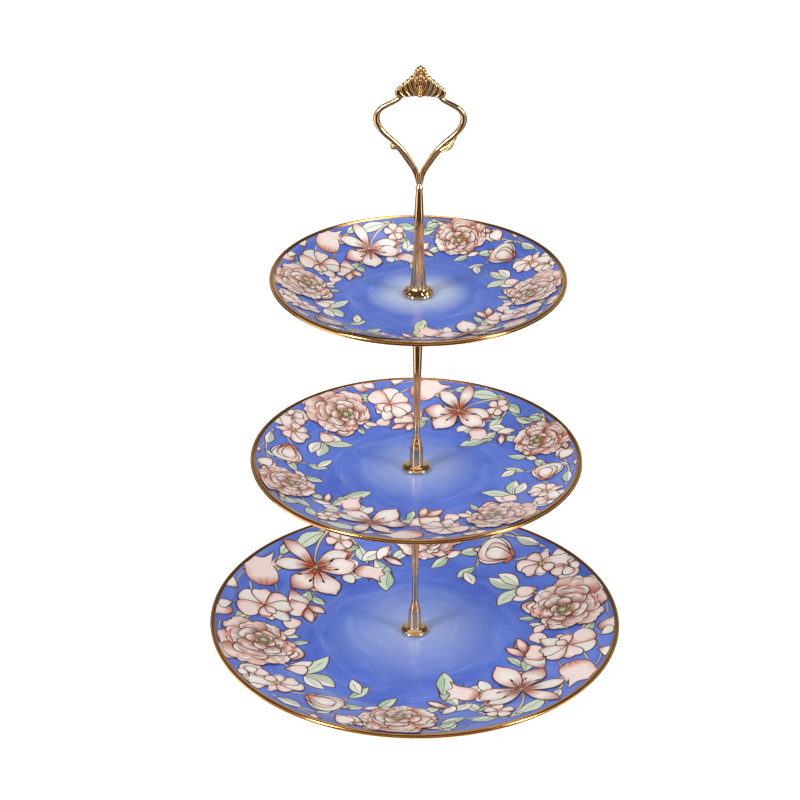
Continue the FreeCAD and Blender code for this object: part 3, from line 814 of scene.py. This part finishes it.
LOOSE = (
    # place, heading, length, shape, bend
    (82, 157, 104, 22, BELL, 0.25), (90, -4, 18, 15, BELL, -0.2), (88, 20, 10, 19, BELL, 0.2),
    (83, 27, 58, 13, RUFFLED, 0.3), (68, 28, -175, 12, POINTED, 0.5), (72, 31, 200, 11, ROUND, -0.4),
    (63, 119, -22, 15, BELL, 0.2), (64, 124, -75, 12, POINTED, 0.3), (66, 146, -20, 16, SLIVER, 0.9),
    (70, 152, -70, 18, POINTED, 0.2), (67, 158, -50, 15, ROUND, -0.3), (87, 66, 120, 11, ROUND, 0.3),
    (90, 71, 185, 12, NOTCHED, -0.3), (84, 69, 100, 12, ROUND, 0.4), (75, 100, -130, 12, POINTED, 0.3),
    (95, 76, 150, 7, BELL, 0.2), (95, 60, 120, 6, BELL, -0.2), (66, 170, -60, 12, ROUND, 0.3),
    (92, 164, 150, 10, NOTCHED, -0.3), (91, 172, 200, 9, ROUND, 0.3), (66, 6, -140, 11, POINTED, 0.4),
    (90, 40, 20, 9, ROUND, 0.3), (74, 71, -160, 9, POINTED, 0.3),
)
FLOWERS = (
    # drawing, place, heading, size, level
    (bud, 57, 160, -78, 14, 8), (bud, 58, 158, -38, 12, 9), (bud, 80, 58, 168, 13, 10),
    (bud, 92, 72, 160, 9, 8), (bud, 68, 104, -30, 12, 9), (bud, 90, 92, 170, 10, 8),
    (cup, 80, 51, 148, 19, 14), (cup, 72, 22, -140, 15, 12), (cup, 84, 74, 140, 15, 12),
    (orchid, 84, 40, 10, 13.5, 18), (blossom, 84, 118, 50, 7.5, 18), (magnolia, 76, 168, 8, 15, 18),
    (blossom, 91, 33, 0, 8, 12),
    (lily, 73, 134, -60, 22, 30), (peony, 80, 85, 80, 18, 34), (peony, 76, 12, 40, 20, 34),
)


def draw_half():
    """Half of a plate's painting, from the stems up to the large flowers."""
    painting = Painting()
    for knots, thick in STEMS:
        stem(painting, knots, thick, 0)
    for index, (radius, angle, heading, length, bend) in enumerate(LEAVES):
        leaf(painting, at(radius, angle), heading, length, 2 + index % 3, bend)
    for index, (radius, angle, heading, length, shape, bend) in enumerate(LOOSE):
        loose(painting, at(radius, angle), heading, length, 5 + index % 4, shape, bend)
    for drawing, radius, angle, heading, size, level in FLOWERS:
        drawing(painting, at(radius, angle), heading, size, level)
    return painting


def lay_on_plate(plate, painting, turn):
    """Puts both halves of the painting on a plate, as one piece for each kind of paint and half."""
    scale = plate.radius / 100
    limit, soft = plate.radius - BAND_TOP + 0.25, 3.0
    for half in (0, 1):
        spin = cmath.rect(scale, math.radians(turn + 180 * half))
        for paint, layer in painting.layers.items():
            points = []
            for spot, level in zip(layer["spots"], layer["levels"]):
                place = spot * spin
                reach = abs(place)
                if reach > limit - soft:
                    squeezed = limit - soft * math.exp(-(reach - limit + soft) / soft)
                    place *= squeezed / reach
                    reach = squeezed
                height = plate.height(reach) + FIRST_LIFT + LIFT_STEP * level
                points.append((place.real, place.imag, height))
            name = f"{plate.tier}_{paint}_{half + 1}"
            piece = make_piece(name, points, layer["faces"], PAINTS[paint], layer["paint"])
            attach(piece, body_of(f"{plate.tier}_plate"))


# ---- metalwork ----

def fit(points, node):
    """Moves points, whose heights start at a node's foot, up to where the node is."""
    foot = span(node)[0].z
    return [(x, y, z + foot) for x, y, z in points]


def finish_metal(name, parts, material, node):
    """Joins parts into the piece that stands for a CAD node."""
    points, faces = join(parts)
    piece = make_piece(name, fit(points, node), faces, material)
    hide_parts(node)
    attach(piece, body_of(node))


def tube(knots, sides=20, per_span=8, depth=1.0, ridge=0.0):
    """A capped tube through (x, y, z, radius) knots that lie near a plane y = constant. depth scales it along
    Y, and ridge raises a soft keel on its front and back."""
    path = curve_through(knots, per_span)
    points = []
    for index, (x, y, z, radius) in enumerate(path):
        before, after = path[max(index - 1, 0)], path[min(index + 1, len(path) - 1)]
        along = Vector([b - a for a, b in zip(before[:3], after[:3])]).normalized()
        back = Vector((0, 1, 0))
        back = (back - along * back.dot(along)).normalized()
        across = along.cross(back)
        for side in range(sides):
            turn = TAU * side / sides
            swell = 1 + ridge * max(0.0, abs(math.sin(turn)) - 0.75) / 0.25
            out = across * math.cos(turn) + back * math.sin(turn) * depth * swell
            points.append(tuple(Vector((x, y, z)) + out * radius))
    faces = skin(len(path), sides, inside_out=True)
    last = (len(path) - 1) * sides
    for start, mid, order in ((0, path[0], 1), (last, path[-1], -1)):
        points.append(tuple(mid[:3]))
        ring = [(len(points) - 1, start + (side + 1) % sides, start + side) for side in range(sides)]
        faces += [face[::order] for face in ring]
    return points, faces


def ball(x, y, z, radius):
    """A small round boss."""
    knots = [(x, y, z + radius * math.sin(a), max(radius * math.cos(a), radius * 0.05))
             for a in (math.radians(-88 + 176 * k / 8) for k in range(9))]
    return tube(knots, 16, 2)


def arm(side):
    """One side of the loop, from inside the stem, out round the bend and up to the crest."""
    knots = ((0.6, 66, 0.9), (0.82, 72, 1.05), (1.0, 76, 1.15), (1.35, 78.6, 1.2), (2.6, 81.6, 1.25),
             (4.4, 84.6, 1.3), (6.8, 88.4, 1.4), (9.3, 92.2, 1.5), (12.7, 96.0, 1.6), (16.6, 99.7, 1.68),
             (20.4, 103.2, 1.76), (23.5, 107.0, 1.88), (25.2, 110.6, 2.0), (25.5, 113.6, 1.94),
             (24.8, 116.4, 1.82), (22.9, 119.0, 1.68), (19.7, 121.1, 1.58), (15.9, 123.1, 1.5),
             (13.0, 124.9, 1.5), (11.4, 126.8, 1.5))
    return tube([(side * x, 0.0, z, radius) for x, z, radius in knots], 24, 6, 0.95, 0.08)


def strand(side):
    """A thinner strand fused to the outer side of an arm's lower half, up to the leaf or the curl."""
    knots = ((0.9, 70.4, 0.6), (1.3, 72.6, 0.95), (1.7, 75.0, 1.02), (2.3, 77.2, 1.05), (3.1, 79.3, 1.05),
             (4.3, 81.6, 1.05), (6.0, 84.2, 1.05), (8.3, 87.7, 1.05), (10.8, 91.3, 1.05), (12.9, 93.9, 0.9),
             (14.4, 95.6, 0.4))
    return tube([(side * x, 0.0, z, radius) for x, z, radius in knots], 20, 6, 0.9)


def leaf_fan(root, tip, leaflets, thick, rounding, bow):
    """A solid fan of ribbed leaflets. root(q) and tip(q) give its inner and outer edge for q from -1 to 1."""
    points = []
    across, rise = 10, 12
    for step in range(leaflets * across + 1):
        crown = math.sqrt(max(0.0, 1 - (2 * (step % across) / across - 1) ** 2))
        q = 2 * step / (leaflets * across) - 1
        start, end = Vector(root(q)), Vector(tip(q))
        end += (end - start).normalized() * rounding * crown
        groove = 0.42 + 0.58 * crown
        ring = []
        for level in range(rise + 1):
            v = level / rise
            spot = start.lerp(end, v) + Vector((bow * q * math.sin(math.pi * v), 0))
            swell = (0.8 + 0.2 * math.sin(math.pi * v)) * math.sqrt(1 - max(0.0, (v - 0.8) / 0.2) ** 2 * 0.9)
            ring.append((spot.x, spot.y, thick * groove * swell / 2))
        points += [(x, -y, z) for x, z, y in ring] + [(x, y, z) for x, z, y in reversed(ring)]
    count = 2 * (rise + 1)
    faces = skin(leaflets * across + 1, count, inside_out=True)
    last = leaflets * across * count
    faces += [tuple(range(count))[::-1], tuple(range(last, last + count))]
    return points, faces


def crest():
    """The palmette: a wide fan, two smaller sprays at its tip, end scrolls and a beaded rib."""
    def wide_root(q):
        x = 12.4 * q * abs(q) ** 1.1
        return (x, 127.3 - 1.5 * (x / 13) ** 2)

    def wide_tip(q):
        return (13.5 * q, 130.8 + 12.8 * (1 - abs(q)))

    def spray(foot, centre, side_reach, top_reach, spread):
        def root(q):
            return (0.7 * q, foot)

        def tip(q):
            turn = math.radians(spread * q)
            reach = side_reach + (top_reach - side_reach) * (1 - abs(q)) ** 1.2
            return (reach * math.sin(turn), centre + reach * math.cos(turn))
        return root, tip

    parts = [leaf_fan(wide_root, wide_tip, 12, 3.4, 0.9, 1.6),
             leaf_fan(*spray(135.4, 138.8, 3.6, 6.5, 74), 7, 3.9, 0.7, 0.5),
             leaf_fan(*spray(132.8, 136.0, 3.2, 4.8, 80), 5, 4.8, 0.7, 0.5)]
    for side in (-1, 1):
        scroll = [(side * 11.2, 0, 126.3, 1.4), (side * 12.9, 0, 127.3, 1.5), (side * 13.8, 0, 129.1, 1.2),
                  (side * 13.5, 0, 130.9, 0.9), (side * 12.6, 0, 131.8, 0.6)]
        parts.append(tube(scroll, 18, 7, 1.15))
    rib = [(0, 0, 126.4, 1.1), (0, 0, 127.4, 1.8), (0, 0, 129.6, 1.6), (0, 0, 133, 1.3)]
    parts.append(tube(rib, 16, 6, 1.2))
    for face in (-1, 1):
        for height, radius in ((127.9, 0.95), (129.9, 0.8), (131.7, 0.7), (133.3, 0.8)):
            parts.append(ball(0, face * 1.8, height, radius))
        parts.append(ball(0, face * 1.9, 137.0, 0.8))
        parts.append(ball(0, face * 1.5, 141.8, 0.7))
    return parts


def buds():
    """The leaf that hugs the underside of the loop's right arm, and the small curl under its left arm."""
    blade = tube(((9.6, -0.1, 91.6, 0.5), (12.2, -0.3, 93.0, 1.3), (14.8, -0.4, 94.3, 1.7),
                  (17.2, -0.4, 95.6, 1.8), (19.0, -0.3, 98.2, 1.3), (20.6, -0.2, 100.6, 0.8),
                  (22.1, 0.0, 102.9, 0.2)), 18, 7, 0.75, 0.1)
    fold = tube(((12.0, -1.1, 92.4, 0.3), (14.8, -1.7, 93.6, 0.6), (17.2, -1.7, 95.2, 0.6),
                 (19.4, -1.2, 98.2, 0.4), (21.2, -0.6, 100.9, 0.2)), 12, 6)
    stalk = tube(((-9.8, -0.1, 92.0, 0.5), (-12.0, -0.3, 93.6, 1.0), (-14.0, -0.4, 94.6, 1.15),
                  (-15.6, -0.4, 94.9, 1.0)), 16, 6)
    curl = tube(((-14.8, -0.3, 94.3, 1.0), (-16.2, -0.3, 94.9, 1.15), (-16.8, -0.3, 96.3, 0.9),
                 (-16.6, -0.2, 97.5, 0.4)), 16, 6)
    return [blade, fold, stalk, curl, ball(-16.3, -0.9, 95.0, 0.5)]


def rosette_outline():
    """The handle's foot in section, from its threaded bore out to its edge and up to the fork."""
    top = [(9.35, 0.25), (9.5, 0.7), (9.3, 1.25), (8.6, 1.7), (7.5, 2.05), (6.5, 2.5), (5.8, 3.1),
           (5.25, 3.9), (4.95, 5.2), (4.7, 7.5), (4.25, 12), (3.75, 18), (3.45, 24), (3.2, 34), (3.0, 44),
           (2.8, 53), (2.5, 60), (2.15, 65), (2.02, 67.6), (2.2, 67.9), (2.28, 68.6), (2.2, 69.3),
           (1.95, 69.7), (1.6, 70.6), (1.1, 71.6), (0.5, 72.3), (AXIS, 72.5)]
    return curve_through([(BORE, 10.0), (BORE, 0.4), (2.9, 0.0), (9.0, 0.0)] + top, 4)


def stem_shape(radius, height, turn):
    """Ten shallow scallops round the foot, and eight smooth flutes that fade out up the stem."""
    bore_wall, bore_top = 2.95, 11
    if radius < bore_wall and height < bore_top:
        return radius
    scallop = 0.03 * min(1.0, max(0.0, radius - 6.2) / 2.6)
    flute = 0.17 * min(1.0, max(0.0, height - 2.6) / 4) * max(0.0, 1 - (height - 2) / 58)
    return radius * (1 - scallop * (1 - abs(math.cos(5 * turn))) - flute * (0.5 - 0.5 * math.cos(8 * turn)))


def raise_petals(points):
    """Ten rounded petals in relief on the upper face of the handle's foot."""
    inner, outer, relief = 5.0, 9.4, 0.5
    raised = []
    for x, y, z in points:
        reach = math.hypot(x, y)
        if z > 0.6 and inner < reach < outer:
            swell = math.sin(math.pi * (reach - inner) / (outer - inner)) ** 2
            z += relief * swell * (abs(math.cos(5 * math.atan2(y, x))) - 0.6)
        raised.append((x, y, z))
    return raised


def build_handle():
    """The casting from its foot to the tip of its crest."""
    points, faces = lathe(rosette_outline() + [(AXIS, 11.0)], 160, stem_shape)
    parts = [(raise_petals(points), faces), arm(-1), arm(1), strand(-1), strand(1), *crest(), *buds()]
    finish_metal("crown_handle_cast", parts, GOLD, "crown_handle")


def build_rod(node, name):
    """A turned column: dished foot, bell, waist and a long swelling shaft, bored for the studs."""
    top = height_of(node)
    outer = [(8.6, 0.0), (8.95, 0.3), (9.0, 0.75), (8.75, 1.15), (7.9, 1.5), (6.6, 1.75), (5.6, 2.15),
             (4.9, 2.75), (4.45, 3.1), (4.2, 3.5), (4.12, 5.0), (4.2, 8.5), (4.12, 12), (3.85, 15),
             (3.3, 17.6), (2.65, 20.2), (2.2, 22.6), (2.02, 25), (2.0, 32), (2.02, 45), (2.25, 56),
             (2.6, 68), (2.95, 80), (3.15, 88), (3.3, 98), (3.6, 108), (3.88, 114.4), (3.9, top - 0.3),
             (3.7, top)]
    deep, cone = 11, 12.2
    bore = [(BORE, top), (BORE, top - deep), (0.3, top - cone), (0.3, cone), (BORE, deep), (BORE, 0.0)]
    finish_metal(name, [lathe(curve_through(outer, 4) + bore, 96)], GOLD, node)


def thread_shape(low, high):
    """A right-handed thread cut into a shank between two heights."""
    def shape(radius, height, turn):
        if radius < 1.5 or not low <= height <= high:
            return radius
        phase = (height / PITCH - turn / TAU) % 1
        ease = min(1.0, (height - low) / PITCH, (high - height) / PITCH)
        return radius - THREAD_DEPTH * abs(2 * phase - 1) * ease
    return shape


def build_stud(node, name):
    """A threaded stud with chamfered ends."""
    tall, chamfer, rows = height_of(node), 0.5, 330
    shank = [(SHANK, chamfer + (tall - 2 * chamfer) * k / rows) for k in range(rows + 1)]
    outline = [(AXIS, 0.0), (SHANK_END, 0.0)] + shank + [(SHANK_END, tall), (AXIS, tall)]
    threaded = lathe(outline, 40, thread_shape(THREAD_MARGIN, tall - THREAD_MARGIN))
    finish_metal(name, [threaded], PLATED, node)


def half_face(side, radius, slot_half, high):
    """Half of a screw head's face: a D with a rounded edge, its straight side along the driver slot."""
    rounding, per_ring = 0.5, 48
    rings = [(radius, high)] + arc_points(radius - rounding, rounding, rounding, 0, -90, 5)
    points = []
    for reach, height in rings:
        start = math.asin(slot_half / reach)
        for step in range(per_ring):
            turn = start + (math.pi - 2 * start) * step / (per_ring - 1)
            points.append((reach * math.cos(turn), side * reach * math.sin(turn), height))
    faces = skin(len(rings), per_ring)
    last = (len(rings) - 1) * per_ring
    faces += [tuple(range(per_ring)), tuple(range(last, last + per_ring))[::-1]]
    if side < 0:
        faces = [face[::-1] for face in faces]
    return points, faces


def build_base_screw():
    """The round-headed screw under the bottom plate, with a driver slot cut straight across its face."""
    tall, rows = height_of("base_screw"), 190
    head_radius, head_tall, rounding = 7.0, 2.0, 0.3
    slot_half, slot_deep = 0.6, 0.9
    halves = [half_face(side, head_radius, slot_half, slot_deep + 0.2) for side in (-1, 1)]
    disc = [(AXIS, slot_deep), (head_radius - 0.1, slot_deep), (head_radius - 0.03, slot_deep + 0.1)]
    disc += arc_points(head_radius - rounding, head_tall - rounding, rounding, 0, 90, 4)
    head = lathe(disc + [(2.3, head_tall), (AXIS, head_tall)], 96)
    shank = [(SHANK, head_tall + (tall - head_tall - 0.5) * k / rows) for k in range(rows + 1)]
    outline = [(AXIS, 1.9), (2.3, 1.9)] + shank + [(SHANK_END, tall), (AXIS, tall)]
    threaded = lathe(outline, 64, thread_shape(3.4, tall - THREAD_MARGIN))
    finish_metal("base_screw_turned", halves + [head, threaded], PLATED, "base_screw")


def build_ring(node, outer, material, grooves):
    """A washer or gasket with rounded edges and four faint turned grooves on both faces."""
    tall, inner, edge, steps = height_of(node), RING_HOLE, 0.22, 24
    radii = [outer - edge - (outer - inner - 2 * edge) * k / steps for k in range(1, steps)]
    dips = [grooves * (0.5 - 0.5 * math.cos(TAU * 4 * k / steps)) for k in range(1, steps)]
    outline = (arc_points(outer - edge, edge, edge, -90, 0, 4)
               + arc_points(outer - edge, tall - edge, edge, 0, 90, 4)
               + [(radius, tall - dip) for radius, dip in zip(radii, dips)]
               + arc_points(inner + edge, tall - edge, edge, 90, 180, 4)
               + arc_points(inner + edge, edge, edge, 180, 270, 4)
               + [(radius, dip) for radius, dip in zip(radii, dips)][::-1])
    finish_metal(f"{node}_detail", [lathe(outline, 96)], material, node)


# ---- the stand ----

# How far each plate is turned about the column, in degrees
PLATE_TURNS = (0, -65, -16)

plates = [Plate(tier) for tier in TIERS]
painted = draw_half()
for plate, turn in zip(plates, PLATE_TURNS):
    build_plate(plate)
    lay_on_plate(plate, painted, turn)
build_rod("lower_rod", "lower_column_turned")
build_rod("upper_rod", "upper_column_turned")
build_handle()
build_stud("lower_stud", "lower_stud_threaded")
build_stud("upper_stud", "upper_stud_threaded")
build_base_screw()
for node in ("base_washer", "middle_plate_support_washer", "top_plate_support_washer"):
    build_ring(node, WASHER_RADIUS, PLATED, 0.06)
for tier in TIERS:
    for side in ("lower", "upper"):
        build_ring(f"{tier}_plate_{side}_gasket", GASKET_RADIUS, SILICONE, 0.04)


# ---- studio ----

FLOOR_SIZE = 12.0
CAMERA_PLACE, CAMERA_PITCH, CAMERA_YAW, CAMERA_ROLL = (0.0, -1.332, 0.899), -28.37, -0.455, 0.412
CAMERA_LENS, SENSOR = 109.7, 36.0
STAND_MIDDLE = (0, 0, 0.2)

bpy.ops.mesh.primitive_plane_add(size=FLOOR_SIZE, location=(0, 0, -0.0002))
floor = bpy.context.object
floor.name = "floor"
floor.data.materials.append(floor_material())


def softbox(name, place, size, power):
    """A rectangular area light, in watts, aimed at the middle of the stand."""
    light = bpy.data.lights.new(name, "AREA")
    light.shape, light.size, light.size_y = "RECTANGLE", size[0], size[1]
    light.energy = power
    holder = bpy.data.objects.new(name, light)
    holder.location = place
    holder.rotation_euler = (Vector(STAND_MIDDLE) - Vector(place)).to_track_quat("-Z", "Y").to_euler()
    bpy.context.scene.collection.objects.link(holder)


softbox("key", (-1.6, -1.3, 1.5), (0.5, 1.3), 33)
softbox("fill", (1.8, -1.0, 1.3), (0.4, 1.3), 23)
softbox("back", (0.2, 0.9, 2.2), (1.0, 0.3), 5)


def dark_cards():
    """Dark cards laid round the stand, seen only in reflections, so that polished metal has contrast."""
    near, far, height, steps = 150, 5200, 0.4, 12
    points, faces = [], []
    for start, end in ((-55, 50), (68, 140), (200, 262)):
        first = len(points)
        for step in range(steps + 1):
            turn = math.radians(start + (end - start) * step / steps - 90)
            for radius in (near, far):
                points.append((radius * math.cos(turn), radius * math.sin(turn), height))
        for low in range(first, first + 2 * steps, 2):
            faces.append((low, low + 1, low + 3, low + 2))
    card = Shader("dark_card", Roughness=0.9, Base_Color=(*srgb(62, 38, 20), 1))
    piece = make_piece("dark_cards", points, faces, card.material)
    for ray in ("camera", "diffuse", "shadow", "transmission", "volume_scatter"):
        setattr(piece, f"visible_{ray}", False)


dark_cards()

# The world: even light for diffuse surfaces, a ramp from light below to dark above in reflections, and a
# pale backdrop for the camera
world = bpy.data.worlds.new("studio")
bpy.context.scene.world = world
world.use_nodes = True
sky = world.node_tree
even = sky.nodes["Background"]
kinds = ("Background", "Background", "TexCoord", "SeparateXYZ", "ValToRGB", "LightPath",
         "MixShader", "MixShader")
seen, pale, place, split, ramp, path, both, backdrop = (sky.nodes.new(f"ShaderNode{kind}") for kind in kinds)
for node, strength in ((even, 0.46), (pale, 0.9)):
    node.inputs["Color"].default_value = (1, 1, 1, 1)
    node.inputs["Strength"].default_value = strength
for source, socket in (
        (place.outputs["Generated"], split.inputs[0]),
        (split.outputs["Z"], ramp.inputs[0]),
        (ramp.outputs[0], seen.inputs["Color"]),
        (path.outputs["Is Glossy Ray"], both.inputs[0]),
        (even.outputs[0], both.inputs[1]),
        (seen.outputs[0], both.inputs[2]),
        (path.outputs["Is Camera Ray"], backdrop.inputs[0]),
        (both.outputs[0], backdrop.inputs[1]),
        (pale.outputs[0], backdrop.inputs[2]),
        (backdrop.outputs[0], sky.nodes["World Output"].inputs[0])):
    sky.links.new(source, socket)
ramp.color_ramp.elements[0].color = (0.66, 0.64, 0.61, 1)
ramp.color_ramp.elements[1].color = (0.08, 0.07, 0.06, 1)
for height, grey in ((0.3, 0.52), (0.55, 0.11)):
    ramp.color_ramp.elements.new(height).color = (grey, grey, grey, 1)

camera = bpy.data.objects.new("camera", bpy.data.cameras.new("camera"))
bpy.context.scene.collection.objects.link(camera)
camera.data.lens, camera.data.sensor_width = CAMERA_LENS, SENSOR
camera.data.clip_start, camera.data.clip_end = 0.05, 50
pitch, yaw, roll = (math.radians(angle) for angle in (CAMERA_PITCH, CAMERA_YAW, CAMERA_ROLL))
ahead = Vector((math.sin(yaw) * math.cos(pitch), math.cos(yaw) * math.cos(pitch), math.sin(pitch)))
right = Vector((math.cos(yaw), -math.sin(yaw), 0))
above = right.cross(ahead)
right, above = (right * math.cos(roll) + above * math.sin(roll),
                above * math.cos(roll) - right * math.sin(roll))
camera.matrix_world = Matrix((
    (right.x, above.x, -ahead.x, CAMERA_PLACE[0]),
    (right.y, above.y, -ahead.y, CAMERA_PLACE[1]),
    (right.z, above.z, -ahead.z, CAMERA_PLACE[2]),
    (0, 0, 0, 1)))
bpy.context.scene.camera = camera
bpy.context.scene.view_settings.view_transform = "Standard"
